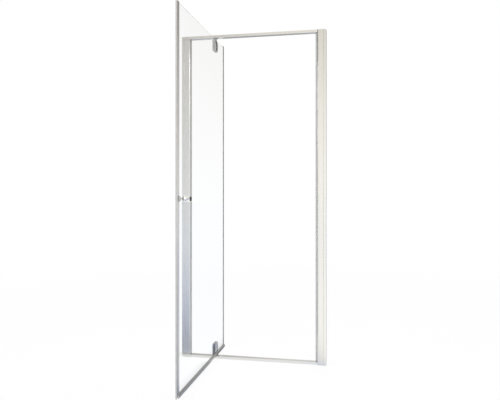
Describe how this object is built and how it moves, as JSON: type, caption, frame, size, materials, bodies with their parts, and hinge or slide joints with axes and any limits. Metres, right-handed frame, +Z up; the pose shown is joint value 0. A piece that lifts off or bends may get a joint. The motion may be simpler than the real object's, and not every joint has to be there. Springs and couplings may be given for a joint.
{
  "type": "hinged shower door",
  "caption": "Framed recess shower door whose clear glass leaf turns on pivots set in from its edge, with a round knob, a magnetic closing strip and a drip rail.",
  "frame": {"origin": "middle of the frame's width and depth, on the underside of the sill", "axes": "+X along the frame from hinge side to strike side, +Y from outside to inside the shower, +Z up"},
  "size_m": [0.86, 0.7465, 1.9],
  "materials": {
    "polished_aluminium": "bright anodised, lightly drawn",
    "chrome": "polished",
    "stainless_steel": "brushed",
    "clear_glass": "clear toughened",
    "grey_plastic": "fine matt",
    "seal_plastic": "satin",
    "grey_seal": "satin",
    "clear_plastic": "translucent",
    "magnet": "matt"
  },
  "bodies": {
    "frame": {"hinge_stile": "polished_aluminium", "strike_stile": "polished_aluminium", "head_rail": "polished_aluminium", "sill_rail": "polished_aluminium", "corner_screws": "stainless_steel", "hinge_stile_caps": "grey_plastic", "strike_stile_caps": "grey_plastic", "strike_seal": "seal_plastic", "strike_magnet": "magnet", "stile_gasket": "grey_seal", "top_bearing": "grey_plastic", "bottom_bearing": "grey_plastic", "bearing_screws": "stainless_steel", "thrust_washer": "grey_plastic", "locking_screws_left": "stainless_steel", "locking_screws_right": "stainless_steel", "locking_caps_left": "grey_plastic", "locking_caps_right": "grey_plastic"},
    "left_channel": {"wall_channel_left": "polished_aluminium"},
    "right_channel": {"wall_channel_right": "polished_aluminium"},
    "leaf": {"glass_panel": "clear_glass", "handle_profile": "polished_aluminium", "handle_profile_caps": "grey_plastic", "leaf_edge_seal": "seal_plastic", "leaf_magnet": "magnet", "pivot_edge_seal": "grey_seal", "drip_rail": "polished_aluminium", "drip_rail_caps": "grey_plastic", "drip_lip": "clear_plastic", "top_hinge_block": "chrome", "top_hinge_plate": "chrome", "top_hinge_gaskets": "clear_plastic", "top_hinge_screws": "stainless_steel", "bottom_hinge_block": "chrome", "bottom_hinge_plate": "chrome", "bottom_hinge_gaskets": "clear_plastic", "bottom_hinge_screws": "stainless_steel", "hinge_hole_sleeves": "clear_plastic", "top_pivot_pin": "stainless_steel", "bottom_pivot_pin": "stainless_steel", "pin_grub_screws": "stainless_steel", "inner_knob": "chrome", "outer_knob": "chrome", "knob_washers": "clear_plastic", "knob_sleeve": "clear_plastic", "knob_stud": "stainless_steel"}
  },
  "joints": [
    {"name": "leaf_pivot", "type": "hinge", "parent": "frame", "child": "leaf", "pos_m": [-0.2255, 0, 0], "axis": [0, 0, 1], "range_deg": [-15, 90]},
    {"name": "left_channel_slide", "type": "slide", "parent": "frame", "child": "left_channel", "axis": [-1, 0, 0], "range_m": [0, 0.007]},
    {"name": "right_channel_slide", "type": "slide", "parent": "frame", "child": "right_channel", "axis": [1, 0, 0], "range_m": [0, 0.007]}
  ]
}
